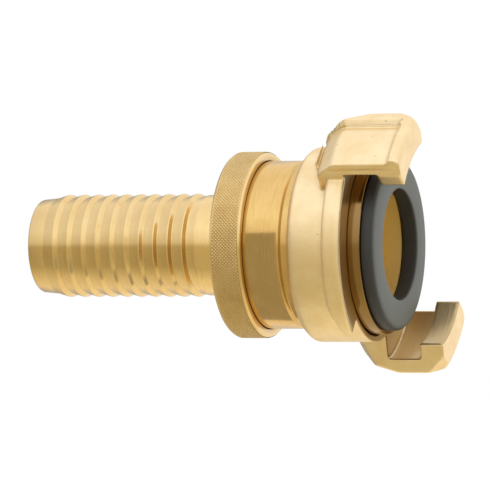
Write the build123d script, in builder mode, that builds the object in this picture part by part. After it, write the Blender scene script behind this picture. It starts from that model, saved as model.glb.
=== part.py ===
from build123d import *
import os
from math import cos, radians, sin, tan

# A claw coupling for a suction and pressure hose.  Two halves push together, lock by a part of a
# turn, and a knurled gland nut then presses their rubber seals face to face.
# The axis is +X, from the hose to the seal.  The origin is the middle of the tail's hose end.
# Sizes are in millimetres.  An angle about the axis runs from +Y towards +Z.

# Hose tail
bore_radius = 7.5
tail_end_radius = 9.0
tail_radius = 9.7
barb_radius = 9.95
barb_root_radius = 9.3
barb_count = 10
barb_pitch = 2.95
barb_land = 0.2
barb_back_length = 0.55
first_barb = 5.7
plain_run_up = 1.8

# Shank and seal head.  They are turned in one piece with the hose tail, and are a solid of
# their own so that the collision shapes leave the barbs free for a hose.
shoulder_x = 54.1
shank_step = 3.4
shank_wall = 1.55
shank_edge_break = 0.4
throat_cone_length = 6.0
head_back_x = 66.2
head_front_x = 70.45
head_step = 4.05
head_edge_break = 0.3
head_rim_wall = 1.55
groove_floor_x = 67.6
groove_mouth_length = 0.9
groove_undercut = 0.7
nose_front_x = 69.4
nose_wall = 1.15

# Profile seal
seal_face_x = 73.0
seal_setback = 0.55
seal_taper = 0.2
seal_hole_lip = 0.93
seal_corner_radius = 1.5
seal_lip_round = 0.3
seal_flare_length = 0.8
seal_gap = 0.05

# Gland nut
nut_rear_x = 40.6
nut_front_x = 46.75
nut_rear_break = 0.45
nut_front_break = 0.45
nut_rim_wall = 1.35
nut_rim_gap = 0.45
nut_rim_break = 0.2
nut_web = 2.0
sleeve_bore_gap = 0.15
sleeve_edge_break = 0.4
sleeve_wall_step = 0.9
thread_gap = 0.08

# Slip washer between the nut's sleeve and the tail's shoulder
washer_thickness = 1.0
washer_gap = 0.05
washer_bore_gap = 0.1

# Claw body
draw_travel = 3.6
draw_margin = 0.15
neck_rear_gap = 0.4
neck_wall = 2.1
neck_front_x = 53.8
neck_edge_break = 0.4
relief_depth = 0.5
body_rear_x = 56.1
body_front_x = 68.1
body_wall = 1.3
body_rear_round = 0.9
guide_gap = 0.1
guide_rear_x = 55.2
head_gap = 0.15
face_edge_break = 0.2

# Claw flange, which the other half's claws run behind
flange_clearance = 0.7
flange_rear_x = 64.4
flange_edge_round = 0.5
flange_root_depth = 1.0
flange_sweep_deg = 103.0
ramp_sweep_deg = 18.0
ramp_rise = 2.3

# Claws
claw_roll_deg = 127.0
claw_half_width_deg = 19.6
lip_inner_radius = 20.0
lip_depth = 3.1
claw_wall = 2.9
lip_rear_x = 74.6
lip_front_x = 79.4
claw_rear_x = 59.2
claw_knee_x = 62.4
claw_knee_drop = 2.1
claw_top_x = 65.4
claw_outline_round = 1.6

# Corners cut off the claw, and its sunk outer field
rear_step = 1.7
rear_corner_near = 4.0
rear_bevel_start_deg = 10.0
rear_bevel_run = 3.2
top_bevel_start_deg = 12.9
top_bevel_run = 5.0
top_bevel_drop = 1.7
front_bevel_run = 3.6
front_bevel_drop = 3.6
near_bevel_deg = 3.2
near_bevel_drop = 3.1
field_depth = 0.7
field_rim_front = 1.8
field_rim_rear = 1.5
field_rim_side_deg = 12.0

# Radii and stations that follow from the sizes above
shank_radius = tail_radius + shank_step
throat_radius = shank_radius - shank_wall
head_radius = shank_radius + head_step
groove_undercut_radius = head_radius - head_rim_wall
groove_mouth_radius = groove_undercut_radius - groove_undercut
seal_radius = head_radius - seal_setback
seal_rear_radius = seal_radius - seal_taper
seal_hole_radius = throat_radius - seal_hole_lip
washer_outer_radius = shank_radius - guide_gap
guide_radius = shank_radius + guide_gap
thread_radius = shank_radius + sleeve_wall_step
sleeve_radius = thread_radius - thread_gap
sleeve_bore_radius = barb_radius + sleeve_bore_gap
sleeve_front_x = shoulder_x - washer_thickness - 2 * washer_gap
neck_radius = thread_radius + neck_wall
neck_rear_x = nut_rear_x + nut_web + neck_rear_gap
relief_radius = neck_radius - relief_depth
nut_rim_inner_radius = neck_radius + nut_rim_gap
nut_radius = nut_rim_inner_radius + nut_rim_wall
pocket_radius = head_radius + head_gap
pocket_floor_x = head_back_x - draw_travel - draw_margin
body_radius = pocket_radius + body_wall
arm_inner_radius = lip_inner_radius + lip_depth
claw_outer_radius = arm_inner_radius + claw_wall
claw_knee_radius = claw_outer_radius - claw_knee_drop
flange_radius = arm_inner_radius - flange_clearance


def radial_plane(angle):
    """Plane through the axis: x runs along the axis and y runs outwards at the angle."""
    turn = radians(angle)
    return Plane(origin=(0, 0, 0), x_dir=(1, 0, 0), z_dir=(0, -sin(turn), cos(turn)))


def outward_plane(angle, radius):
    """Plane across the outward direction: x runs along the axis and z runs outwards."""
    turn = radians(angle)
    outward = Vector(0, cos(turn), sin(turn))
    return Plane(origin=outward * radius, x_dir=(1, 0, 0), z_dir=outward)


# Hose tail: barbs and plain run, up to the shoulder
tail_outline = [(0, bore_radius), (0, tail_end_radius)]
for barb in range(barb_count):
    crest = first_barb + barb * barb_pitch
    tail_outline.append((crest - barb_pitch + barb_back_length, barb_root_radius))
    tail_outline.append((crest - barb_land, barb_radius))
    tail_outline.append((crest, barb_radius))
last_root = first_barb + (barb_count - 1) * barb_pitch + barb_back_length
tail_outline += [
    (last_root, barb_root_radius),
    (last_root + plain_run_up, tail_radius),
    (shoulder_x, tail_radius),
    (shoulder_x, bore_radius),
]
with BuildPart() as hose_tail:
    with BuildSketch(Plane.XZ):
        with BuildLine():
            Polyline(*tail_outline, close=True)
        make_face()
    revolve(axis=Axis.X)

# Shank and the head that holds the seal, from the shoulder on
head_outline = [
    (shoulder_x, bore_radius),
    (shoulder_x, shank_radius - shank_edge_break),
    (shoulder_x + shank_edge_break, shank_radius),
    (head_back_x, shank_radius),
    (head_back_x, head_radius),
    (head_front_x - head_edge_break, head_radius),
    (head_front_x, head_radius - head_edge_break),
    (head_front_x, groove_mouth_radius),
    (head_front_x - groove_mouth_length, groove_mouth_radius),
    (head_front_x - groove_mouth_length, groove_undercut_radius),
    (groove_floor_x, groove_undercut_radius),
    (groove_floor_x, throat_radius + nose_wall),
    (nose_front_x, throat_radius + nose_wall),
    (nose_front_x, throat_radius),
    (shoulder_x + throat_cone_length, throat_radius),
]
with BuildPart() as seal_head:
    with BuildSketch(Plane.XZ):
        with BuildLine():
            Polyline(*head_outline, close=True)
        make_face()
    revolve(axis=Axis.X)

# Profile seal: a face ring with a stem that snaps into the head's undercut groove
stem_outer = groove_undercut_radius - seal_gap
stem_neck = groove_mouth_radius - seal_gap
stem_inner = throat_radius + nose_wall + seal_gap
stem_shelf_x = head_front_x - groove_mouth_length - seal_gap
nose_seat_x = nose_front_x + seal_gap
with BuildPart() as seal_ring:
    with BuildSketch(Plane.XZ):
        with BuildLine():
            Polyline(
                (seal_face_x, seal_radius - seal_corner_radius),
                (seal_face_x, seal_hole_radius + seal_lip_round),
                (seal_face_x - seal_lip_round, seal_hole_radius),
                (nose_seat_x + seal_flare_length, seal_hole_radius),
                (nose_seat_x, throat_radius),
                (nose_seat_x, stem_inner),
                (groove_floor_x + seal_gap, stem_inner),
                (groove_floor_x + seal_gap, stem_outer),
                (stem_shelf_x, stem_outer),
                (stem_shelf_x, stem_neck),
                (head_front_x, stem_neck),
                (head_front_x, seal_rear_radius),
                (seal_face_x - seal_corner_radius, seal_radius),
            )
            RadiusArc(
                (seal_face_x - seal_corner_radius, seal_radius),
                (seal_face_x, seal_radius - seal_corner_radius),
                seal_corner_radius,
            )
        make_face()
    revolve(axis=Axis.X)

# Gland nut: knurled rim, rear web and a threaded sleeve that screws into the claw body's neck
web_front_x = nut_rear_x + nut_web
with BuildPart() as knurled_nut:
    with BuildSketch(Plane.XZ):
        with BuildLine():
            Polyline(
                (nut_rear_x, sleeve_bore_radius),
                (nut_rear_x, nut_radius - nut_rear_break),
                (nut_rear_x + nut_rear_break, nut_radius),
                (nut_front_x - nut_front_break, nut_radius),
                (nut_front_x, nut_radius - nut_front_break),
                (nut_front_x, nut_rim_inner_radius + nut_rim_break),
                (nut_front_x - nut_rim_break, nut_rim_inner_radius),
                (web_front_x, nut_rim_inner_radius),
                (web_front_x, sleeve_radius),
                (sleeve_front_x - sleeve_edge_break, sleeve_radius),
                (sleeve_front_x, sleeve_radius - sleeve_edge_break),
                (sleeve_front_x, sleeve_bore_radius),
                close=True,
            )
        make_face()
    revolve(axis=Axis.X)

# Slip washer, which lets the tail turn while the nut presses on it
with BuildPart() as slip_washer:
    with BuildSketch(Plane.YZ.offset(sleeve_front_x + washer_gap)):
        Circle(washer_outer_radius)
        Circle(tail_radius + washer_bore_gap, mode=Mode.SUBTRACT)
    extrude(amount=washer_thickness)

# Flange segment with a lead-in ramp on its rear side
flange_start_deg = claw_roll_deg - claw_half_width_deg
flange_end_deg = claw_roll_deg + flange_sweep_deg
ramp_middle_deg = flange_end_deg - ramp_sweep_deg / 2
ramp_half_run = flange_radius * tan(radians(ramp_sweep_deg / 2))
flange_root_radius = body_radius - flange_root_depth
with BuildPart() as flange:
    with BuildSketch(radial_plane(flange_start_deg)):
        with BuildLine():
            Polyline(
                (flange_rear_x, flange_root_radius),
                (flange_rear_x, flange_radius - flange_edge_round),
                (flange_rear_x + flange_edge_round, flange_radius),
                (body_front_x - flange_edge_round, flange_radius),
                (body_front_x, flange_radius - flange_edge_round),
                (body_front_x, flange_root_radius),
                close=True,
            )
        make_face()
    revolve(axis=Axis.X, revolution_arc=flange_end_deg - flange_start_deg)
    with BuildSketch(outward_plane(ramp_middle_deg, flange_root_radius - flange_root_depth)):
        with BuildLine():
            Polyline(
                (claw_rear_x, ramp_half_run),
                (flange_rear_x, ramp_half_run),
                (flange_rear_x + ramp_rise, -ramp_half_run),
                (flange_rear_x + ramp_rise, -2 * ramp_half_run),
                (claw_rear_x, -2 * ramp_half_run),
                close=True,
            )
        make_face()
    extrude(amount=flange_radius, mode=Mode.SUBTRACT)


def claw_outline(inset):
    """Half section of a claw, with its outside lowered by the inset."""
    outer = claw_outer_radius - inset
    return [
        (claw_rear_x + inset, flange_root_radius),
        (claw_knee_x + inset, claw_knee_radius - inset / 2),
        (claw_top_x + inset, outer),
        (lip_front_x, outer),
        (lip_front_x, lip_inner_radius),
        (lip_rear_x, lip_inner_radius),
        (lip_rear_x, arm_inner_radius),
        (body_front_x, arm_inner_radius),
        (body_front_x, flange_root_radius),
    ]


def claw_point(x, radius, offset_deg):
    """Point on the claw at an angle from its middle, positive towards its open side."""
    turn = radians(claw_roll_deg - offset_deg)
    return Vector(x, radius * cos(turn), radius * sin(turn))


def plane_through(first, second, third):
    """Plane through three points, facing the side from which they run anticlockwise."""
    return Plane(origin=first, z_dir=(second - first).cross(third - first))


# Claw: an arm over the front face with an inward lip, and a sunk field on its outside
claw_start_deg = claw_roll_deg - claw_half_width_deg
claw_side = claw_outer_radius * tan(radians(claw_half_width_deg))
field_side = claw_outer_radius * tan(radians(claw_half_width_deg - field_rim_side_deg))
claw_bevels = [
    plane_through(
        claw_point(claw_knee_x, claw_knee_radius, rear_bevel_start_deg),
        claw_point(claw_knee_x + rear_bevel_run, claw_knee_radius, claw_half_width_deg),
        claw_point(claw_rear_x + rear_bevel_run, flange_root_radius, claw_half_width_deg),
    ),
    plane_through(
        claw_point(claw_top_x, claw_outer_radius, top_bevel_start_deg),
        claw_point(claw_top_x + top_bevel_run, claw_outer_radius, claw_half_width_deg),
        claw_point(claw_knee_x + rear_bevel_run, claw_outer_radius - top_bevel_drop, claw_half_width_deg),
    ),
    plane_through(
        claw_point(lip_front_x, claw_outer_radius - front_bevel_drop, claw_half_width_deg),
        claw_point(lip_front_x - front_bevel_run, claw_outer_radius, claw_half_width_deg),
        claw_point(lip_front_x, claw_outer_radius, top_bevel_start_deg),
    ),
    plane_through(
        claw_point(lip_front_x, claw_outer_radius, near_bevel_deg - claw_half_width_deg),
        claw_point(claw_rear_x, claw_outer_radius, near_bevel_deg - claw_half_width_deg),
        claw_point(lip_front_x, claw_outer_radius - near_bevel_drop, -claw_half_width_deg),
    ),
]
with BuildPart() as claw:
    with BuildSketch(radial_plane(claw_start_deg)) as rim_section:
        with BuildLine():
            Polyline(*claw_outline(0), close=True)
        make_face()
        fillet(rim_section.vertices().filter_by(lambda v: v.Y > arm_inner_radius), claw_outline_round)
    revolve(axis=Axis.X, revolution_arc=2 * claw_half_width_deg)
    with BuildSketch(outward_plane(claw_roll_deg, 0)):
        with BuildLine():
            Polyline(
                (claw_rear_x + rear_step + field_rim_rear, -2 * claw_side),
                (claw_rear_x + rear_step + field_rim_rear, 0),
                (claw_rear_x + field_rim_rear, 0),
                (claw_rear_x + field_rim_rear, field_side),
                (lip_front_x - field_rim_front, field_side),
                (lip_front_x - field_rim_front, -2 * claw_side),
                close=True,
            )
        make_face()
    extrude(amount=2 * claw_outer_radius, mode=Mode.SUBTRACT)
    with BuildSketch(radial_plane(claw_start_deg)) as field_section:
        with BuildLine():
            Polyline(*claw_outline(field_depth), close=True)
        make_face()
        fillet(field_section.vertices().filter_by(lambda v: v.Y > arm_inner_radius), claw_outline_round)
    revolve(axis=Axis.X, revolution_arc=2 * claw_half_width_deg)
    with BuildSketch(outward_plane(claw_roll_deg, 0)):
        with BuildLine():
            Polyline(
                (claw_rear_x + rear_corner_near, -2 * claw_side),
                (claw_rear_x + rear_corner_near, -claw_side),
                (claw_rear_x + rear_step, 0),
                (claw_rear_x, 0),
                (claw_rear_x, 2 * claw_side),
                (lip_front_x, 2 * claw_side),
                (lip_front_x, -2 * claw_side),
                close=True,
            )
        make_face()
    extrude(amount=2 * claw_outer_radius, mode=Mode.INTERSECT)
    for bevel in claw_bevels:
        split(bisect_by=bevel, keep=Keep.BOTTOM)

# Claw body: neck, forged body, flange segments and claws, forged and then turned inside
with BuildPart() as claw_body:
    with BuildSketch(Plane.XZ):
        with BuildLine():
            Polyline(
                (neck_rear_x, thread_radius),
                (neck_rear_x, neck_radius - neck_edge_break),
                (neck_rear_x + neck_edge_break, neck_radius),
                (neck_front_x, neck_radius),
                (neck_front_x + neck_radius - relief_radius, relief_radius),
                (body_rear_x, relief_radius),
                (body_rear_x, body_radius - body_rear_round),
                (body_rear_x + body_rear_round, body_radius),
                (body_front_x, body_radius),
                (body_front_x, pocket_radius + face_edge_break),
                (body_front_x - face_edge_break, pocket_radius),
                (pocket_floor_x, pocket_radius),
                (pocket_floor_x, guide_radius),
                (guide_rear_x, guide_radius),
                (guide_rear_x, thread_radius),
                close=True,
            )
        make_face()
    revolve(axis=Axis.X)
    for half_turn in (0, 180):
        add(flange.part, rotation=(half_turn, 0, 0))
        add(claw.part, rotation=(half_turn, 0, 0))

hose_tail.part.label = "hose_tail"
seal_head.part.label = "seal_head"
seal_ring.part.label = "seal_ring"
knurled_nut.part.label = "knurled_nut"
slip_washer.part.label = "slip_washer"
claw_body.part.label = "claw_body"

os.makedirs("parts", exist_ok=True)
export_step(hose_tail.part, "parts/hose_tail.step")
export_step(seal_head.part, "parts/seal_head.step")
export_step(seal_ring.part, "parts/seal_ring.step")
export_step(knurled_nut.part, "parts/knurled_nut.step")
export_step(slip_washer.part, "parts/slip_washer.step")
export_step(claw_body.part, "parts/claw_body.step")
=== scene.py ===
"""A claw hose coupling half in turned and forged brass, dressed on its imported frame."""

import logging
import math
from dataclasses import dataclass
from enum import Enum
from typing import Iterable, Sequence

import bmesh
import bpy
from mathutils import Matrix, Vector


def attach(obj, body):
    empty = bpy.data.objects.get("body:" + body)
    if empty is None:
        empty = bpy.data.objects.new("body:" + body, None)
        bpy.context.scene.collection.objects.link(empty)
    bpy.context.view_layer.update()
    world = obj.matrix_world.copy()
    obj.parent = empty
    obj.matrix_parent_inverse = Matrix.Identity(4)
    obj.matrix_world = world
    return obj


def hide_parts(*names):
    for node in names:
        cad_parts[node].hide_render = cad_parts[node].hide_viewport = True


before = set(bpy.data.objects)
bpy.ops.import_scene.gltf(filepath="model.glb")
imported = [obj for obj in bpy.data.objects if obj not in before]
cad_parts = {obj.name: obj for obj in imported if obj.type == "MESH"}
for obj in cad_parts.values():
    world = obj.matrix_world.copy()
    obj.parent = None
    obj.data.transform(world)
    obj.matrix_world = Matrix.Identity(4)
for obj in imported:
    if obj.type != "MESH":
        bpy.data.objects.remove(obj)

logging.basicConfig(level=logging.INFO, format="%(message)s")
log = logging.getLogger("coupling")

MM = 0.001
# A corner of an outline: place along the axis, radius and rounding, in millimetres
Corner = tuple[float, float, float]
# Red, green and blue in linear light
Colour = tuple[float, float, float]
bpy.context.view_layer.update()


class Finish(Enum):
    """How a brass surface was made."""

    TURNED = "turned"
    FORGED = "forged"


@dataclass(frozen=True)
class Zones:
    """Where the brass was cut on the lathe, in millimetres along the axis or out from it.

    Attributes:
        face_rear: just behind the forging's turned face.
        face_front: just in front of that face.
        hollow_front: the front end of the hollows inside the claws.
        hollow_radius: just outside the hollows' floors.
        lip_radius: just outside the lips' inner faces.
        water_way_rear: where the water way widens.
        water_way_radius: just outside the wide water way.
    """

    face_rear: float = 67.95
    face_front: float = 68.4
    hollow_front: float = 74.75
    hollow_radius: float = 23.2
    lip_radius: float = 20.2
    water_way_rear: float = 54.0
    water_way_radius: float = 12.0


ZONES = Zones()


# ---------------------------------------------------------------- materials


def linear(hex_colour: str) -> tuple[float, float, float, float]:
    """Turns an sRGB hex colour into linear light.

    Args:
        hex_colour: six hex digits, with or without a leading hash.

    Returns:
        Red, green, blue and an alpha of one.
    """
    digits = hex_colour.lstrip("#")
    channels = [int(digits[i : i + 2], 16) / 255 for i in (0, 2, 4)]
    lit = [c / 12.92 if c <= 0.04045 else ((c + 0.055) / 1.055) ** 2.4 for c in channels]
    return (lit[0], lit[1], lit[2], 1.0)


def put(tree: bpy.types.NodeTree, kind: str, links: dict | None = None, **settings: object) -> bpy.types.Node:
    """Adds a node with its settings and links.

    Args:
        tree: the node tree that gets the node.
        kind: the node's type name.
        links: input name or number to an output socket or a constant.
        settings: properties of the node itself.

    Returns:
        The new node.
    """
    node = tree.nodes.new(kind)
    for name, value in settings.items():
        setattr(node, name, value)
    for name, value in (links or {}).items():
        if isinstance(value, bpy.types.NodeSocket):
            tree.links.new(value, node.inputs[name])
        else:
            node.inputs[name].default_value = value
    return node


@dataclass(frozen=True)
class Brass:
    """Leaded brass, CW614N for the bar and CW617N for the forging, with the marks of how it was made.

    A cut surface mirrors the room in streaks along the tool's path, and a forged one is paler
    and mirrors it softly, because its blasted skin scatters the light.

    Attributes:
        name: material name.
        finish: turned or forged.
        bright: colour of a clean surface.
        dull: colour where the surface has toned down.
        roughness: mean microfacet roughness.
        drawn_out: anisotropy, the share by which a tool's path draws the gloss out.
        grain_mm: grit of the blasted skin, or spacing of the tool's feed. A lathe's feed of
            0.1 mm is too fine to show, so it is drawn coarser.
        relief_mm: height of that grain.
        patch_mm: size of the toned patches.
        painted_shade: colour of painted shade, laid in recesses and on faces that sit behind other parts.
        painted_shade_from_mm: where the outside of a turned piece is darkened all over with painted shade,
            along the axis.
        washed: colour of the water way, which stays clean and pale.
        nook_mm: how far ambient occlusion reaches into a recess to paint shade there.
        face_painted_shade: share of painted shade on the forging's turned face.
        hollow_painted_shade: share of painted shade in the claws' hollows.
        lip_painted_shade: share of painted shade on the lips' inner faces.
        bored: roughness of the water way.
        cut_roughness: roughness of a cut surface on the forging.
        cut_feed_mm: spacing of the tool's feed there.
        pit_mm: spacing of the forged skin's pits.
        pit_depth: their depth, in heights of the grain.
    """

    name: str
    finish: Finish
    bright: str
    dull: str
    roughness: float
    drawn_out: float
    grain_mm: float
    relief_mm: float
    patch_mm: float
    painted_shade: str = "#B0986C"
    painted_shade_from_mm: float = 1000.0
    washed: str = "#FEE8A8"
    nook_mm: float = 3.0
    face_painted_shade: float = 0.72
    hollow_painted_shade: float = 0.55
    lip_painted_shade: float = 0.75
    bored: float = 0.5
    cut_roughness: float = 0.3
    cut_feed_mm: float = 0.5
    pit_mm: float = 2.6
    pit_depth: float = 1.5

    def build(self) -> bpy.types.Material:
        """Makes the node material.

        Returns:
            The brass.
        """
        material = bpy.data.materials.new(self.name)
        material.use_nodes = True
        tree = material.node_tree
        shader = tree.nodes["Principled BSDF"]
        shader.inputs["Metallic"].default_value = 1.0
        shader.inputs["Anisotropic"].default_value = self.drawn_out
        place = put(tree, "ShaderNodeTexCoord").outputs["Object"]
        axes = put(tree, "ShaderNodeSeparateXYZ", {0: place})
        across = put(tree, "ShaderNodeCombineXYZ", {1: axes.outputs[1], 2: axes.outputs[2]})
        radius = put(
            tree, "ShaderNodeVectorMath", {0: across.outputs[0]}, operation="LENGTH"
        ).outputs["Value"]
        patches = put(
            tree,
            "ShaderNodeTexNoise",
            {"Vector": place, "Scale": 1 / (self.patch_mm * MM), "Detail": 4.0, "Roughness": 0.6},
        ).outputs[0]
        height, toned, rough = self.tool_marks(tree, axes, across, radius)
        if self.finish is Finish.FORGED:
            skin, pits = self.forged_skin(tree, place)
            cut = self.cut_share(tree, axes.outputs[0], radius)
            pairs = ((skin, height), (pits, toned), (self.roughness, self.cut_roughness))
            height, toned, rough = (
                put(tree, "ShaderNodeMix", {0: cut, 2: forged, 3: lathed}, data_type="FLOAT").outputs[0]
                for forged, lathed in pairs
            )
            # Painted shade on the cut face, the claws' hollows and the lips
            painted_shade_share = self.cut_painted_shade(tree, cut, axes.outputs[0], radius)
            outside = 1.0
        else:
            # Painted shade over the turned outside in front of a given place along the axis
            front = put(
                tree,
                "ShaderNodeMath",
                {0: axes.outputs[0], 1: self.painted_shade_from_mm * MM},
                operation="GREATER_THAN",
            ).outputs[0]
            beyond = put(
                tree,
                "ShaderNodeMath",
                {0: axes.outputs[0], 1: ZONES.water_way_rear * MM},
                operation="LESS_THAN",
            ).outputs[0]
            wide = put(
                tree,
                "ShaderNodeMath",
                {0: radius, 1: ZONES.water_way_radius * MM},
                operation="GREATER_THAN",
            ).outputs[0]
            outside = put(tree, "ShaderNodeMath", {0: beyond, 1: wide}, operation="MAXIMUM").outputs[0]
            painted_shade_share = put(tree, "ShaderNodeMath", {0: front, 1: outside}, operation="MULTIPLY").outputs[0]
            # The water way is bored rougher than the outside is turned
            rough = put(
                tree, "ShaderNodeMix", {0: outside, 2: self.bored, 3: rough}, data_type="FLOAT"
            ).outputs[0]
        # Painted shade: ambient occlusion darkens the outside's recesses, such as the barbs' roots and the
        # gaps between parts
        open_air = put(
            tree, "ShaderNodeAmbientOcclusion", {"Distance": self.nook_mm * MM}, samples=8
        ).outputs["AO"]
        recess_shade = put(tree, "ShaderNodeMapRange", {0: open_air, 1: 0.3, 2: 0.8, 3: 0.85, 4: 0.0}).outputs[0]
        recess_shade = put(tree, "ShaderNodeMath", {0: recess_shade, 1: outside}, operation="MULTIPLY").outputs[0]
        painted_shade_share = put(tree, "ShaderNodeMath", {0: painted_shade_share, 1: recess_shade}, operation="MAXIMUM").outputs[0]
        patch_tone = put(
            tree, "ShaderNodeMapRange", {0: patches, 1: 0.35, 2: 0.75, 3: 0.0, 4: 0.45}
        ).outputs[0]
        share = put(tree, "ShaderNodeMath", {0: toned, 1: patch_tone}, operation="MAXIMUM").outputs[0]
        colour = put(
            tree,
            "ShaderNodeMix",
            {0: share, 6: linear(self.bright), 7: linear(self.dull)},
            data_type="RGBA",
        )
        # Mix in the painted shade colour
        colour = put(
            tree,
            "ShaderNodeMix",
            {0: painted_shade_share, 6: colour.outputs[2], 7: linear(self.painted_shade)},
            data_type="RGBA",
        )
        colour = put(
            tree,
            "ShaderNodeMix",
            {0: outside, 6: linear(self.washed), 7: colour.outputs[2]},
            data_type="RGBA",
        )
        tree.links.new(colour.outputs[2], shader.inputs["Base Color"])
        uneven = put(
            tree, "ShaderNodeMath", {0: patches, 1: 0.1, 2: -0.05}, operation="MULTIPLY_ADD"
        ).outputs[0]
        total = put(tree, "ShaderNodeMath", {0: rough, 1: uneven}, operation="ADD").outputs[0]
        tree.links.new(total, shader.inputs["Roughness"])
        bump = put(
            tree,
            "ShaderNodeBump",
            {"Height": height, "Distance": self.relief_mm * MM, "Strength": 1.0},
        )
        tree.links.new(bump.outputs[0], shader.inputs["Normal"])
        if self.drawn_out:
            round_axis = put(tree, "ShaderNodeTangent", direction_type="RADIAL", axis="X")
            tree.links.new(round_axis.outputs[0], shader.inputs["Tangent"])
        return material

    def cut_painted_shade(
        self,
        tree: bpy.types.NodeTree,
        cut: bpy.types.NodeSocket,
        along: bpy.types.NodeSocket,
        radius: bpy.types.NodeSocket,
    ) -> bpy.types.NodeSocket:
        """How much painted shade the forging's cut surfaces get.

        Args:
            tree: the material's nodes.
            cut: one on a cut surface.
            along: place along the axis.
            radius: distance from the axis.

        Returns:
            The share of painted shade, nought on the forged skin.
        """
        edge = put(
            tree, "ShaderNodeMath", {0: along, 1: ZONES.face_front * MM}, operation="LESS_THAN"
        ).outputs[0]
        lip = put(
            tree, "ShaderNodeMath", {0: radius, 1: ZONES.lip_radius * MM}, operation="LESS_THAN"
        ).outputs[0]
        face = put(tree, "ShaderNodeMath", {0: edge, 1: self.face_painted_shade}, operation="MULTIPLY").outputs[0]
        lip = put(
            tree,
            "ShaderNodeMapRange",
            {0: lip, 1: 0.0, 2: 1.0, 3: self.hollow_painted_shade, 4: self.lip_painted_shade},
        ).outputs[0]
        most = put(tree, "ShaderNodeMath", {0: face, 1: lip}, operation="MAXIMUM").outputs[0]
        return put(tree, "ShaderNodeMath", {0: cut, 1: most}, operation="MULTIPLY").outputs[0]

    def tool_marks(
        self,
        tree: bpy.types.NodeTree,
        axes: bpy.types.Node,
        across: bpy.types.Node,
        radius: bpy.types.NodeSocket,
    ) -> tuple[bpy.types.NodeSocket, bpy.types.NodeSocket, bpy.types.NodeSocket]:
        """Short streaks round the axis, from the turning tool.

        Args:
            tree: the material's nodes.
            axes: the object coordinates apart.
            across: the object coordinates without the part along the axis.
            radius: the distance from the axis.

        Returns:
            The height, the share of dull colour and the roughness.
        """
        along = put(tree, "ShaderNodeMath", {0: axes.outputs[0], 1: radius}, operation="ADD").outputs[0]
        turn = put(tree, "ShaderNodeVectorMath", {0: across.outputs[0]}, operation="NORMALIZE")
        # A streak is about a third of a radian long
        turn = put(tree, "ShaderNodeVectorMath", {0: turn.outputs[0], 3: 3.0}, operation="SCALE").outputs[0]
        feed = self.cut_feed_mm if self.finish is Finish.FORGED else self.grain_mm
        step = put(tree, "ShaderNodeMath", {0: along, 1: 1 / (feed * MM)}, operation="MULTIPLY").outputs[0]
        step = put(tree, "ShaderNodeCombineXYZ", {0: step}).outputs[0]
        spot = put(tree, "ShaderNodeVectorMath", {0: step, 1: turn}, operation="ADD").outputs[0]
        streaks = put(
            tree,
            "ShaderNodeTexNoise",
            {"Vector": spot, "Scale": 1.0, "Detail": 2.0, "Roughness": 0.5},
        ).outputs[0]
        toned = put(tree, "ShaderNodeMapRange", {0: streaks, 1: 0.45, 2: 0.75, 3: 0.0, 4: 0.5}).outputs[0]
        rough = put(
            tree,
            "ShaderNodeMapRange",
            {0: streaks, 1: 0.3, 2: 0.7, 3: self.roughness - 0.04, 4: self.roughness + 0.05},
        ).outputs[0]
        return streaks, toned, rough

    def forged_skin(
        self, tree: bpy.types.NodeTree, place: bpy.types.NodeSocket
    ) -> tuple[bpy.types.NodeSocket, bpy.types.NodeSocket]:
        """The blasted skin of a forging, with small pits.

        Args:
            tree: the material's nodes.
            place: the object coordinates.

        Returns:
            The height and the share of dull colour.
        """
        grain = put(
            tree,
            "ShaderNodeTexNoise",
            {"Vector": place, "Scale": 1 / (self.grain_mm * MM), "Detail": 5.0, "Roughness": 0.65},
        ).outputs[0]
        spots = put(
            tree,
            "ShaderNodeTexVoronoi",
            {"Vector": place, "Scale": 1 / (self.pit_mm * MM), "Randomness": 1.0},
        )
        pits = put(
            tree,
            "ShaderNodeMapRange",
            {0: spots.outputs["Distance"], 1: 0.03, 2: 0.1, 3: 1.0, 4: 0.0},
        ).outputs[0]
        height = put(
            tree, "ShaderNodeMath", {0: pits, 1: -self.pit_depth, 2: grain}, operation="MULTIPLY_ADD"
        ).outputs[0]
        return height, pits

    def cut_share(
        self, tree: bpy.types.NodeTree, along: bpy.types.NodeSocket, radius: bpy.types.NodeSocket
    ) -> bpy.types.NodeSocket:
        """Where the forging was cut on the lathe: its face, the claws' hollows and the lips.

        Args:
            tree: the material's nodes.
            along: place along the axis.
            radius: distance from the axis.

        Returns:
            One on a cut surface, nought elsewhere.
        """
        face, hollow, within, lip = (
            put(tree, "ShaderNodeMath", {0: place, 1: limit * MM}, operation=test).outputs[0]
            for place, limit, test in (
                (along, ZONES.face_rear, "GREATER_THAN"),
                (along, ZONES.hollow_front, "LESS_THAN"),
                (radius, ZONES.hollow_radius, "LESS_THAN"),
                (radius, ZONES.lip_radius, "LESS_THAN"),
            )
        )
        hollow = put(tree, "ShaderNodeMath", {0: hollow, 1: within}, operation="MULTIPLY").outputs[0]
        either = put(tree, "ShaderNodeMath", {0: hollow, 1: lip}, operation="MAXIMUM").outputs[0]
        return put(tree, "ShaderNodeMath", {0: either, 1: face}, operation="MULTIPLY").outputs[0]


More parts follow.
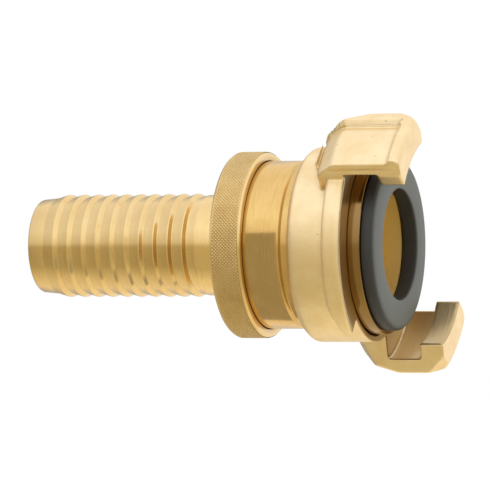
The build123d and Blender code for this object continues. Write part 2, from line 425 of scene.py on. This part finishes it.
@dataclass(frozen=True)
class Rubber:
    """Moulded nitrile rubber: dark and matt, with its front face painted paler as painted light.

    Attributes:
        name: material name.
        body: colour of the sides.
        face: colour of the front face, painted paler than the sides as painted light.
        face_x_mm: where the face starts along the axis.
    """

    name: str
    body: str
    face: str
    face_x_mm: float

    def build(self) -> bpy.types.Material:
        """Makes the node material.

        Returns:
            The finish.
        """
        material = bpy.data.materials.new(self.name)
        material.use_nodes = True
        tree = material.node_tree
        shader = tree.nodes["Principled BSDF"]
        place = put(tree, "ShaderNodeTexCoord").outputs["Object"]
        split = put(tree, "ShaderNodeSeparateXYZ", {0: place})
        # Painted light: the front face is painted paler than the sides, varied by the dust
        painted_light_face = put(
            tree,
            "ShaderNodeMapRange",
            {0: split.outputs[0], 1: (self.face_x_mm - 0.5) * MM, 2: self.face_x_mm * MM, 3: 0.0, 4: 1.0},
        )
        dust = put(
            tree,
            "ShaderNodeTexNoise",
            {"Vector": place, "Scale": 1 / (1.4 * MM), "Detail": 6.0, "Roughness": 0.7},
        )
        share = put(tree, "ShaderNodeMapRange", {0: dust.outputs[0], 1: 0.3, 2: 0.7, 3: 0.86, 4: 1.0})
        amount = put(tree, "ShaderNodeMath", {0: painted_light_face.outputs[0], 1: share.outputs[0]}, operation="MULTIPLY")
        colour = put(
            tree,
            "ShaderNodeMix",
            {0: amount.outputs[0], 6: linear(self.body), 7: linear(self.face)},
            data_type="RGBA",
        )
        tree.links.new(colour.outputs[2], shader.inputs["Base Color"])
        shader.inputs["Roughness"].default_value = 0.55
        shader.inputs["IOR"].default_value = 1.52
        bump = put(
            tree,
            "ShaderNodeBump",
            {"Height": dust.outputs[0], "Distance": 0.02 * MM, "Strength": 1.0},
        )
        tree.links.new(bump.outputs[0], shader.inputs["Normal"])
        return material


@dataclass(frozen=True)
class Acetal:
    """Machined acetal: off white, slightly glossy, a little uneven in tone.

    Attributes:
        name: material name.
        colour: its colour where it is palest.
        shade: its colour where it is darkest.
        haze_mm: size of the uneven patches.
    """

    name: str
    colour: str
    shade: str = "#D2D0C6"
    haze_mm: float = 1.11

    def build(self) -> bpy.types.Material:
        """Makes the node material.

        Returns:
            The finish.
        """
        material = bpy.data.materials.new(self.name)
        material.use_nodes = True
        tree = material.node_tree
        shader = tree.nodes["Principled BSDF"]
        place = put(tree, "ShaderNodeTexCoord").outputs["Object"]
        haze = put(
            tree,
            "ShaderNodeTexNoise",
            {"Vector": place, "Scale": 1 / (self.haze_mm * MM), "Detail": 2.0},
        )
        colour = put(
            tree,
            "ShaderNodeMix",
            {0: haze.outputs[0], 6: linear(self.colour), 7: linear(self.shade)},
            data_type="RGBA",
        )
        tree.links.new(colour.outputs[2], shader.inputs["Base Color"])
        shader.inputs["Roughness"].default_value = 0.4
        return material


# ------------------------------------------------------------------- meshes


def settle(mesh: bmesh.types.BMesh, name: str, sharp_deg: float = 28.0) -> bpy.types.Object:
    """Turns a bmesh into an object at the origin with outward faces and smooth shading.

    Args:
        mesh: the shape, in metres in the part's frame.
        name: the object's name.
        sharp_deg: edges sharper than this stay crisp.

    Returns:
        The new object, linked to the scene.
    """
    bmesh.ops.remove_doubles(mesh, verts=mesh.verts[:], dist=1e-7)
    bmesh.ops.recalc_face_normals(mesh, faces=mesh.faces[:])
    data = bpy.data.meshes.new(name)
    mesh.to_mesh(data)
    mesh.free()
    data.polygons.foreach_set("use_smooth", [True] * len(data.polygons))
    data.set_sharp_from_angle(angle=math.radians(sharp_deg))
    piece = bpy.data.objects.new(name, data)
    bpy.context.scene.collection.objects.link(piece)
    return piece


def turned(
    name: str,
    outline: Sequence[Corner],
    steps: int = 192,
) -> bpy.types.Object:
    """Spins a closed outline about the axis, as a lathe would.

    Args:
        name: the object's name.
        outline: corners as (x, radius, rounding) in millimetres.
        steps: faces round the axis.

    Returns:
        The new object.
    """
    mesh = bmesh.new()
    corners = [mesh.verts.new((x * MM, 0.0, r * MM)) for x, r, _ in outline]
    edges = [mesh.edges.new((a, b)) for a, b in zip(corners, corners[1:] + corners[:1])]
    for corner, (_, _, rounding) in zip(corners, outline):
        if rounding > 0:
            bmesh.ops.bevel(
                mesh,
                geom=[corner],
                offset=rounding * MM,
                offset_type="OFFSET",
                segments=3,
                profile=0.5,
                affect="VERTICES",
                material=-1,
            )
    bmesh.ops.spin(
        mesh,
        geom=mesh.verts[:] + mesh.edges[:],
        cent=(0, 0, 0),
        axis=(1, 0, 0),
        angle=2 * math.pi,
        steps=steps,
        use_merge=True,
    )
    return settle(mesh, name)


def finish_piece(
    piece: bpy.types.Object, material: bpy.types.Material, body: str, nodes: Iterable[str]
) -> None:
    """Dresses a piece, lets it ride on its body and hides the nodes it stands for.

    Args:
        piece: the piece.
        material: its finish.
        body: the body that carries it.
        nodes: the CAD nodes it replaces.
    """
    piece.data.materials.clear()
    piece.data.materials.append(material)
    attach(piece, body)
    for node in nodes:
        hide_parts(node)
    log.info("%s: %d faces on %s", piece.name, len(piece.data.polygons), body)


# --------------------------------------------------------------- assemblies


@dataclass
class HoseTail:
    """The barbed tail, its shank and the head that holds the seal, turned from one bar."""

    bore: float = 7.5
    end_radius: float = 9.0
    barb: float = 9.95
    root: float = 9.3
    plain: float = 9.7
    barbs: int = 10
    pitch: float = 2.95
    first_barb: float = 5.7
    land: float = 0.2
    back: float = 0.55
    run_up: float = 1.8
    shoulder: float = 54.1
    shank: float = 13.1
    throat: float = 11.55
    throat_run: float = 6.0
    head_back: float = 66.2
    head_front: float = 70.45
    head: float = 17.15
    nose_front: float = 69.4
    nose_outer: float = 12.7
    groove_floor: float = 67.6
    undercut: float = 15.6
    mouth: float = 14.9
    mouth_length: float = 0.9

    def outline(self) -> list[Corner]:
        """The section of the tail, from the bore round the outside and back.

        Returns:
            Its corners in order.
        """
        points = [(0.0, self.bore, 0.25), (0.0, self.end_radius, 0.35)]
        for number in range(self.barbs):
            crest = self.first_barb + number * self.pitch
            points.append((crest - self.pitch + self.back, self.root, 0.12))
            points.append((crest - self.land, self.barb, 0.06))
            points.append((crest, self.barb, 0.05))
        last = self.first_barb + (self.barbs - 1) * self.pitch + self.back
        points += [
            (last, self.root, 0.12),
            (last + self.run_up, self.plain, 0.3),
            (self.shoulder, self.plain, 0.1),
            (self.shoulder, self.shank, 0.4),
            (self.head_back, self.shank, 0.1),
            (self.head_back, self.head, 0.1),
            (self.head_front, self.head, 0.3),
            (self.head_front, self.mouth, 0.1),
            (self.head_front - self.mouth_length, self.mouth, 0.1),
            (self.head_front - self.mouth_length, self.undercut, 0.1),
            (self.groove_floor, self.undercut, 0.1),
            (self.groove_floor, self.nose_outer, 0.1),
            (self.nose_front, self.nose_outer, 0.12),
            (self.nose_front, self.throat, 0.12),
            (self.shoulder + self.throat_run, self.throat, 1.0),
            (self.shoulder, self.bore, 0.8),
        ]
        return points

    def build(self, brass: bpy.types.Material) -> None:
        """Makes and dresses the tail."""
        piece = turned("hose_tail_turned", self.outline())
        finish_piece(piece, brass, "tail", ["hose_tail", "seal_head"])


@dataclass
class SealRing:
    """The profile seal: a soft face ring with a stem held in the head's groove."""

    face: float = 73.0
    outer: float = 16.6
    rear: float = 16.4
    hole: float = 10.62
    stem_outer: float = 15.55
    stem_neck: float = 14.85
    stem_inner: float = 12.75
    stem_end: float = 67.65
    shelf: float = 69.5
    seat: float = 70.45
    nose_seat: float = 69.45
    taper: float = 0.8
    throat: float = 11.55

    def outline(self) -> list[Corner]:
        """The section of the seal.

        Returns:
            Its corners in order.
        """
        return [
            (self.face, self.outer, 1.4),
            (self.face, self.hole, 0.3),
            (self.nose_seat + self.taper, self.hole, 0.2),
            (self.nose_seat, self.throat, 0.0),
            (self.nose_seat, self.stem_inner, 0.0),
            (self.stem_end, self.stem_inner, 0.1),
            (self.stem_end, self.stem_outer, 0.1),
            (self.shelf, self.stem_outer, 0.1),
            (self.shelf, self.stem_neck, 0.0),
            (self.seat, self.stem_neck, 0.0),
            (self.seat, self.rear, 0.2),
        ]

    def build(self, rubber: bpy.types.Material) -> None:
        """Makes and dresses the seal."""
        piece = turned("seal_ring_moulded", self.outline())
        finish_piece(piece, rubber, "tail", ["seal_ring"])


@dataclass
class KnurledNut:
    """The gland nut: a diamond knurled rim over the neck, and a sleeve inside it."""

    rear: float = 40.6
    front: float = 46.75
    radius: float = 17.9
    edge: float = 0.45
    rim_inner: float = 16.2
    web_front: float = 42.6
    sleeve: float = 13.92
    sleeve_front: float = 53.0
    bore: float = 10.1
    diamonds: int = 172
    rows: float = 8.0
    cut: float = 0.17
    flank: float = 1.8
    run_out: float = 3.0
    end_cut: float = 0.6
    faces_round: int = 1376
    faces_along: int = 64

    def outline(self) -> list[Corner]:
        """The section of the nut without its knurled band.

        Returns:
            Its corners in order.
        """
        return [
            (self.rear, self.bore, 0.15),
            (self.rear, self.radius - self.edge, 0.08),
            (self.rear + self.edge, self.radius - self.cut, 0.0),
            (self.rear + self.edge, self.radius - 3 * self.cut, 0.0),
            (self.front - self.edge, self.radius - 3 * self.cut, 0.0),
            (self.front - self.edge, self.radius - self.cut, 0.0),
            (self.front, self.radius - self.edge, 0.08),
            (self.front, self.rim_inner, 0.08),
            (self.web_front, self.rim_inner, 0.1),
            (self.web_front, self.sleeve, 0.1),
            (self.sleeve_front, self.sleeve, 0.3),
            (self.sleeve_front, self.bore, 0.1),
        ]

    def knurl(self) -> bmesh.types.BMesh:
        """Cuts two crossing sets of helical grooves into a plain band.

        Returns:
            The band's mesh.
        """
        mesh = bmesh.new()
        low, high = self.rear + self.edge, self.front - self.edge
        ends = [mesh.verts.new((x * MM, 0.0, self.radius * MM)) for x in (low, high)]
        line = mesh.edges.new(ends)
        bmesh.ops.subdivide_edges(mesh, edges=[line], cuts=self.faces_along - 1)
        bmesh.ops.spin(
            mesh,
            geom=mesh.verts[:] + mesh.edges[:],
            cent=(0, 0, 0),
            axis=(1, 0, 0),
            angle=2 * math.pi,
            steps=self.faces_round,
            use_merge=True,
        )
        width = (high - low) * MM
        for vert in mesh.verts:
            turn = math.atan2(vert.co.z, vert.co.y) / (2 * math.pi) * self.diamonds
            along = (vert.co.x - low * MM) / width * self.rows
            first = abs(2 * ((turn + along) % 1.0) - 1)
            second = abs(2 * ((turn - along) % 1.0) - 1)
            fade = min(1.0, min(along, self.rows - along) * self.run_out)
            sink = self.cut * (1 - min(1.0, self.flank * min(first, second))) * fade
            sink += self.cut * (1 - fade) * self.end_cut
            scale = 1 - sink / self.radius
            vert.co.y *= scale
            vert.co.z *= scale
        return mesh

    def build(self, brass: bpy.types.Material, knurled: bpy.types.Material) -> None:
        """Makes and dresses the nut and its knurled band.

        Args:
            brass: finish of the turned faces.
            knurled: finish of the knurled band.
        """
        core = turned("gland_nut_turned", self.outline())
        finish_piece(core, brass, "nut", ["knurled_nut"])
        band = settle(self.knurl(), "gland_nut_knurl", sharp_deg=180.0)
        finish_piece(band, knurled, "nut", [])


@dataclass
class ClawBody:
    """The forged body with its flange, its claws and the turned neck behind them."""

    neck_rear: float = 43.0
    neck: float = 16.1
    neck_front: float = 53.8
    relief: float = 15.6
    body_rear: float = 56.1
    thread: float = 14.0
    guide: float = 13.2
    guide_rear: float = 55.2
    cut_x: float = 55.9
    grain: float = 0.27
    claw_roll_deg: float = 127.0
    claw_foot: float = 22.7
    front: float = 79.4
    front_rim: float = 1.8
    wall_run: float = 1.4
    wall_rise: float = 0.55
    far_wall_deg: float = -12.0
    trough: float = 1.0
    trough_width: float = 1.5
    trough_run: float = 1.5
    rear: float = 59.2
    back_facing: float = 0.45
    near_side_deg: float = 15.0
    furrow: float = 0.22
    furrow_radius: float = 23.95
    furrow_width: float = 0.35
    furrow_floor: float = 23.2
    relief_run: float = 0.5
    overlap: float = 0.4

    def neck_outline(self) -> list[Corner]:
        """The section of the turned neck and its relief groove.

        Returns:
            Its corners in order.
        """
        return [
            (self.neck_rear, self.thread, 0.2),
            (self.neck_rear, self.neck, 0.35),
            (self.neck_front, self.neck, 0.12),
            (self.neck_front + self.relief_run, self.relief, 0.1),
            (self.body_rear + self.overlap, self.relief, 0.0),
            (self.body_rear + self.overlap, self.guide, 0.0),
            (self.guide_rear, self.guide, 0.05),
            (self.guide_rear, self.thread, 0.05),
        ]

    def forging(self) -> bpy.types.Object:
        """The forged front: a merged copy of the solid, remeshed fine and eased at its edges.

        Returns:
            The forging's object.
        """
        mesh = bmesh.new()
        mesh.from_mesh(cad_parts["claw_body"].data)
        bmesh.ops.remove_doubles(mesh, verts=mesh.verts[:], dist=2e-6)
        cut = bmesh.ops.bisect_plane(
            mesh,
            geom=mesh.verts[:] + mesh.edges[:] + mesh.faces[:],
            plane_co=(self.cut_x * MM, 0, 0),
            plane_no=(-1, 0, 0),
            clear_outer=True,
        )
        loop = [e for e in cut["geom_cut"] if isinstance(e, bmesh.types.BMEdge)]
        bmesh.ops.bridge_loops(mesh, edges=loop)
        piece = settle(mesh, "claw_body_forged", sharp_deg=180.0)
        remesh = piece.modifiers.new("remesh", "REMESH")
        remesh.mode = "VOXEL"
        remesh.voxel_size = self.grain * MM
        remesh.use_smooth_shade = True
        smooth = piece.modifiers.new("ease", "CORRECTIVE_SMOOTH")
        smooth.use_only_smooth = True
        smooth.iterations = 3
        smooth.factor = 0.5
        bpy.context.view_layer.update()
        baked = bpy.data.meshes.new_from_object(piece.evaluated_get(bpy.context.evaluated_depsgraph_get()))
        piece.modifiers.clear()
        piece.data = baked
        self.work_claws(baked)
        baked.polygons.foreach_set("use_smooth", [True] * len(baked.polygons))
        return piece

    def work_claws(self, data: bpy.types.Mesh) -> None:
        """Draws the die's softer forms into the claws' backs, all inwards or inside the rims.

        Args:
            data: the remeshed forging.
        """
        mesh = bmesh.new()
        mesh.from_mesh(data)
        mesh.normal_update()
        moves = []
        for vert in mesh.verts:
            x, y, z = vert.co / MM
            radius = math.hypot(y, z)
            if radius < self.claw_foot or x < self.rear:
                continue
            outward = Vector((0.0, y, z)) / radius
            off = (math.degrees(math.atan2(z, y)) - self.claw_roll_deg + 90) % 180 - 90
            facing = vert.normal.dot(outward)
            if facing > self.back_facing:
                shift = self.back_shift(x, radius, off)
                moves.append((vert, outward * shift * MM))
            elif off > self.near_side_deg and abs(vert.normal.x) < 0.5 and radius > self.furrow_floor:
                # A furrow along the near side, above its parting edge
                depth = self.furrow * math.exp(-(((radius - self.furrow_radius) / self.furrow_width) ** 2))
                moves.append((vert, vert.normal * -depth * MM))
        for vert, move in moves:
            vert.co += move
        for vert in mesh.verts:
            vert.co.x = min(vert.co.x, self.front * MM)
        bmesh.ops.smooth_vert(
            mesh,
            verts=[vert for vert, _ in moves],
            factor=0.5,
            use_axis_x=True,
            use_axis_y=True,
            use_axis_z=True,
        )
        mesh.to_mesh(data)
        mesh.free()

    def back_shift(self, x: float, radius: float, off: float) -> float:
        """How far a point of a claw's back moves outwards.

        Args:
            x: place along the axis in millimetres.
            radius: its distance from the axis in millimetres.
            off: its angle from the claw's middle in degrees.

        Returns:
            Millimetres outwards, less than nought for inwards.
        """
        shift = 0.0
        wall = self.front - self.front_rim
        side = math.radians(off - self.far_wall_deg) * radius
        if side > 0:
            # The floor sweeps up to the front rim, and dips along the far rim
            if wall - self.wall_run < x < wall:
                shift += self.wall_rise * ((x - wall + self.wall_run) / self.wall_run) ** 2
            run = min(1.0, max(0.0, (wall - x) / self.trough_run))
            shift -= self.trough * math.exp(-((side / self.trough_width) ** 2)) * run
        return shift

    def build(self, turned_brass: bpy.types.Material, forged_brass: bpy.types.Material) -> None:
        """Makes and dresses the neck and the forging.

        Args:
            turned_brass: finish of the neck.
            forged_brass: finish of the forging.
        """
        neck = turned("claw_body_neck", self.neck_outline())
        finish_piece(neck, turned_brass, "claws", [])
        forged = self.forging()
        finish_piece(forged, forged_brass, "claws", ["claw_body"])


@dataclass
class SlipWasher:
    """The hidden washer between the nut and the tail's shoulder, kept as the solid it is."""

    node: str = "slip_washer"
    body: str = "carrier"

    def dress(self, acetal: bpy.types.Material) -> None:
        """Gives the washer its finish.

        Args:
            acetal: the finish.
        """
        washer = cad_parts[self.node]
        washer.data.materials.clear()
        washer.data.materials.append(acetal)
        log.info("%s: %d faces on %s", washer.name, len(washer.data.polygons), self.body)


@dataclass
class Studio:
    """Camera, lamps, light tent, floor and world, in metres."""

    azimuth_deg: float = 20.0
    distance: float = 0.95
    target_x: float = 0.041505
    lens: float = 363.0
    roll_deg: float = 0.28
    floor_z: float = -0.06
    tent_radius: float = 0.6
    tent_power: float = 1.22
    flag_radius: float = 0.032
    flag_span: tuple[float, float] = (0.0385, 0.0505)
    flag_top_deg: float = 12.5
    flag_turn_deg: float = 112.0
    flag_shade_colour: Colour = (0.44, 0.41, 0.34)
    # Degrees about the axis, from the front over the top, and the cloth's linear colour there
    tent_bands: tuple[tuple[float, Colour], ...] = (
        (-180, (0.88, 0.86, 0.84)),
        (-130, (0.84, 0.76, 0.60)),
        (-90, (0.74, 0.66, 0.46)),
        (-56, (0.48, 0.42, 0.25)),
        (-30, (0.49, 0.42, 0.26)),
        (-1, (0.52, 0.45, 0.28)),
        (3, (0.72, 0.67, 0.53)),
        (10, (0.82, 0.78, 0.70)),
        (40, (0.97, 0.98, 1.0)),
        (90, (0.90, 0.90, 0.95)),
        (150, (0.84, 0.82, 0.76)),
        (180, (0.88, 0.86, 0.84)),
    )
    # Dimmer parts of the cloth: where the dimming starts and ends, and the share of light at each
    back_corner: tuple[float, float, float, float] = (1.05, 1.4, 1.0, 0.3)
    seal_end: tuple[float, float, float, float] = (0.93, 0.98, 1.0, 0.35)
    hose_end: tuple[float, float, float, float] = (-0.88, -0.45, 0.66, 1.0)

    def camera(self) -> None:
        """Sets the camera on the coupling's side, turned towards its seal."""
        turn = math.radians(self.azimuth_deg)
        back = Vector((math.sin(turn), -math.cos(turn), 0.0))
        right = Vector((math.cos(turn), math.sin(turn), 0.0))
        up = Vector((0.0, 0.0, 1.0))
        data = bpy.data.cameras.new("camera")
        data.lens = self.lens
        data.sensor_width = 36.0
        data.clip_end = 10.0
        eye = bpy.data.objects.new("camera", data)
        bpy.context.scene.collection.objects.link(eye)
        spin = Matrix.Rotation(math.radians(-self.roll_deg), 3, back)
        axes = Matrix((spin @ right, spin @ up, back)).transposed()
        stand = Vector((self.target_x, 0, 0)) + back * self.distance
        eye.matrix_world = Matrix.Translation(stand) @ axes.to_4x4()
        bpy.context.scene.camera = eye

    def lamp(self, name: str, place: tuple[float, float, float], size: float, power: float) -> None:
        """Adds a square soft lamp that looks at the coupling.

        Args:
            name: lamp name.
            place: where it stands, in metres from the coupling's middle.
            size: its side in metres.
            power: its power in watts.
        """
        data = bpy.data.lights.new(name, "AREA")
        data.size = size
        data.energy = power
        lamp = bpy.data.objects.new(name, data)
        bpy.context.scene.collection.objects.link(lamp)
        middle = Vector((self.target_x, 0, 0))
        lamp.location = middle + Vector(place)
        lamp.rotation_euler = (-Vector(place)).to_track_quat("-Z", "Y").to_euler()
        lamp.visible_glossy = False

    def world(self) -> None:
        """White where it is seen or mirrored, and a plain grey where it lights the coupling."""
        world = bpy.data.worlds.new("studio")
        bpy.context.scene.world = world
        world.use_nodes = True
        tree = world.node_tree
        tree.nodes.clear()
        dim = put(tree, "ShaderNodeBackground", {0: (1, 1, 1, 1), 1: 0.7})
        white = put(tree, "ShaderNodeBackground", {0: (1, 1, 1, 1), 1: 1.0})
        mix = put(tree, "ShaderNodeMixShader", {0: self.seen(tree), 1: dim.outputs[0], 2: white.outputs[0]})
        put(tree, "ShaderNodeOutputWorld", {0: mix.outputs[0]})

    def seen(self, tree: bpy.types.NodeTree) -> bpy.types.NodeSocket:
        """One for a ray from the camera, a mirror or glass, and nought for the light itself.

        Args:
            tree: the nodes that ask.

        Returns:
            The socket with that share.
        """
        path = put(tree, "ShaderNodeLightPath")
        mirrored = put(
            tree,
            "ShaderNodeMath",
            {0: path.outputs["Is Glossy Ray"], 1: path.outputs["Is Transmission Ray"]},
            operation="MAXIMUM",
        )
        return put(
            tree,
            "ShaderNodeMath",
            {0: path.outputs["Is Camera Ray"], 1: mirrored.outputs[0]},
            operation="MAXIMUM",
        ).outputs[0]

    def tent(self) -> None:
        """A light tent round the coupling that only its metal mirrors: white above, tan card below."""
        mesh = bmesh.new()
        bmesh.ops.create_uvsphere(mesh, u_segments=48, v_segments=32, radius=self.tent_radius)
        bmesh.ops.translate(mesh, verts=mesh.verts[:], vec=(self.target_x, 0, 0))
        tent = settle(mesh, "light_tent", sharp_deg=180.0)
        material = bpy.data.materials.new("tent cloth")
        material.use_nodes = True
        tree = material.node_tree
        tree.nodes.clear()
        place = put(tree, "ShaderNodeTexCoord").outputs["Object"]
        centred = put(
            tree,
            "ShaderNodeVectorMath",
            {0: place, 1: (self.target_x, 0, 0)},
            operation="SUBTRACT",
        )
        ray = put(tree, "ShaderNodeVectorMath", {0: centred.outputs[0]}, operation="NORMALIZE")
        axes = put(tree, "ShaderNodeSeparateXYZ", {0: ray.outputs[0]})
        front = put(tree, "ShaderNodeMath", {0: axes.outputs[1], 1: -1.0}, operation="MULTIPLY")
        turn = put(tree, "ShaderNodeMath", {0: axes.outputs[2], 1: front.outputs[0]}, operation="ARCTAN2")
        share = put(
            tree,
            "ShaderNodeMath",
            {0: turn.outputs[0], 1: 1 / (2 * math.pi), 2: 0.5},
            operation="MULTIPLY_ADD",
        )
        ramp = put(tree, "ShaderNodeValToRGB", {0: share.outputs[0]})
        elements = ramp.color_ramp.elements
        stops = [((degrees + 180) / 360, colour) for degrees, colour in self.tent_bands]
        elements[0].position, elements[0].color = stops[0][0], (*stops[0][1], 1)
        elements[1].position, elements[1].color = stops[-1][0], (*stops[-1][1], 1)
        for at, colour in stops[1:-1]:
            elements.new(at).color = (*colour, 1)
        corner = put(tree, "ShaderNodeMath", {0: axes.outputs[1], 1: axes.outputs[0]}, operation="SUBTRACT")
        power: bpy.types.NodeSocket | float = self.tent_power
        for reach, (start, end, first, last) in (
            (corner.outputs[0], self.back_corner),
            (axes.outputs[0], self.seal_end),
            (axes.outputs[0], self.hose_end),
        ):
            dimmed = put(tree, "ShaderNodeMapRange", {0: reach, 1: start, 2: end, 3: first, 4: last})
            power = put(
                tree, "ShaderNodeMath", {0: dimmed.outputs[0], 1: power}, operation="MULTIPLY"
            ).outputs[0]
        glow = put(tree, "ShaderNodeEmission", {0: ramp.outputs[0], 1: power})
        put(tree, "ShaderNodeOutputMaterial", {0: glow.outputs[0]})
        tent.data.materials.append(material)
        self.mirrored_only(tent)

    def mirrored_only(self, cloth: bpy.types.Object) -> None:
        """Keeps a cloth or card out of sight and out of the light, so that only metal mirrors it.

        Args:
            cloth: the cloth or card.
        """
        for ray_kind in ("camera", "diffuse", "transmission", "volume_scatter", "shadow"):
            setattr(cloth, "visible_" + ray_kind, False)

    def flag(self) -> None:
        """A strip of dim card bent round the front and underside of the neck, which only the metal mirrors:
        painted shade in the neck's reflections.
        """
        mesh = bmesh.new()
        rear, front = (mesh.verts.new((x, 0.0, self.flag_radius)) for x in self.flag_span)
        edge = mesh.edges.new((rear, front))
        turn = math.radians(self.flag_top_deg - 90)
        bmesh.ops.rotate(mesh, verts=mesh.verts[:], cent=(0, 0, 0), matrix=Matrix.Rotation(-turn, 3, "X"))
        bmesh.ops.spin(
            mesh,
            geom=[rear, front, edge],
            cent=(0, 0, 0),
            axis=(1, 0, 0),
            angle=math.radians(self.flag_turn_deg),
            steps=32,
        )
        card = settle(mesh, "neck_shade_flag", sharp_deg=180.0)
        material = bpy.data.materials.new("tan card")
        material.use_nodes = True
        tree = material.node_tree
        tree.nodes.clear()
        # Painted shade: the card glows a dim tan so that the neck mirrors a darker band
        glow = put(tree, "ShaderNodeEmission", {0: (*self.flag_shade_colour, 1), 1: 1.0})
        put(tree, "ShaderNodeOutputMaterial", {0: glow.outputs[0]})
        card.data.materials.append(material)
        self.mirrored_only(card)

    def floor(self) -> None:
        """A plain pale floor that is seen white and keeps a soft shadow of the coupling."""
        mesh = bmesh.new()
        bmesh.ops.create_grid(mesh, x_segments=1, y_segments=1, size=1.5)
        bmesh.ops.translate(mesh, verts=mesh.verts[:], vec=(self.target_x, 0, self.floor_z))
        floor = settle(mesh, "floor")
        material = bpy.data.materials.new("floor paper")
        material.use_nodes = True
        tree = material.node_tree
        tree.nodes.clear()
        paper = put(tree, "ShaderNodeBsdfDiffuse", {0: linear("#F4F4F2")})
        white = put(tree, "ShaderNodeEmission", {0: (1, 1, 1, 1), 1: 1.0})
        place = put(tree, "ShaderNodeTexCoord").outputs["Object"]
        away = put(tree, "ShaderNodeVectorMath", {0: place}, operation="LENGTH").outputs["Value"]
        fade = put(tree, "ShaderNodeMapRange", {0: away, 1: 0.08, 2: 0.22, 3: 0.75, 4: 1.0}).outputs[0]
        share = put(tree, "ShaderNodeMath", {0: self.seen(tree), 1: fade}, operation="MULTIPLY")
        mix = put(
            tree,
            "ShaderNodeMixShader",
            {0: share.outputs[0], 1: paper.outputs[0], 2: white.outputs[0]},
        )
        put(tree, "ShaderNodeOutputMaterial", {0: mix.outputs[0]})
        floor.data.materials.append(material)
        floor.visible_glossy = False

    def build(self) -> None:
        """Sets the whole studio."""
        self.camera()
        self.lamp("key", place=(-0.25, -0.7, 0.75), size=0.5, power=5.0)
        self.lamp("fill", place=(0.7, -0.5, 0.1), size=0.5, power=1.0)
        self.world()
        self.tent()
        self.flag()
        self.floor()
        bpy.context.scene.view_settings.view_transform = "Standard"


def main() -> None:
    """Builds the coupling's pieces in order and dresses them."""
    Studio().build()
    turned_brass = Brass(
        name="turned brass",
        finish=Finish.TURNED,
        bright="#F2D49A",
        dull="#DDB66E",
        roughness=0.15,
        drawn_out=0.5,
        grain_mm=0.3,
        relief_mm=0.0015,
        patch_mm=6.0,
        # Painted shade on the tail's head, in front of 66 mm, which sits behind the seal and inside the claws
        painted_shade="#97794C",
        painted_shade_from_mm=66.0,
    ).build()
    # A darker copy of the turned brass for the neck, as painted shade for its shaded look
    shaded_neck_brass = Brass(
        name="neck brass with painted shade",
        finish=Finish.TURNED,
        bright="#E8C27C",
        dull="#C79C56",
        roughness=0.13,
        drawn_out=0.5,
        grain_mm=0.3,
        relief_mm=0.002,
        patch_mm=4.0,
    ).build()
    knurled_brass = Brass(
        name="knurled brass",
        finish=Finish.TURNED,
        bright="#EBCB8C",
        dull="#C99F5A",
        roughness=0.26,
        drawn_out=0.0,
        grain_mm=0.3,
        relief_mm=0.001,
        patch_mm=3.0,
    ).build()
    forged_brass = Brass(
        name="forged brass",
        finish=Finish.FORGED,
        bright="#FDE7BB",
        dull="#E3BE7A",
        roughness=0.42,
        drawn_out=0.0,
        grain_mm=0.4,
        relief_mm=0.025,
        patch_mm=5.0,
    ).build()
    # The seal's face colour is paler than its body as painted light
    rubber = Rubber(name="nitrile rubber", body="#2B2B29", face="#656863", face_x_mm=73.0).build()
    acetal = Acetal("acetal", "#E4E2DA").build()
    HoseTail().build(turned_brass)
    SealRing().build(rubber)
    KnurledNut().build(turned_brass, knurled_brass)
    ClawBody().build(shaded_neck_brass, forged_brass)
    SlipWasher().dress(acetal)


if __name__ == "__main__":
    main()
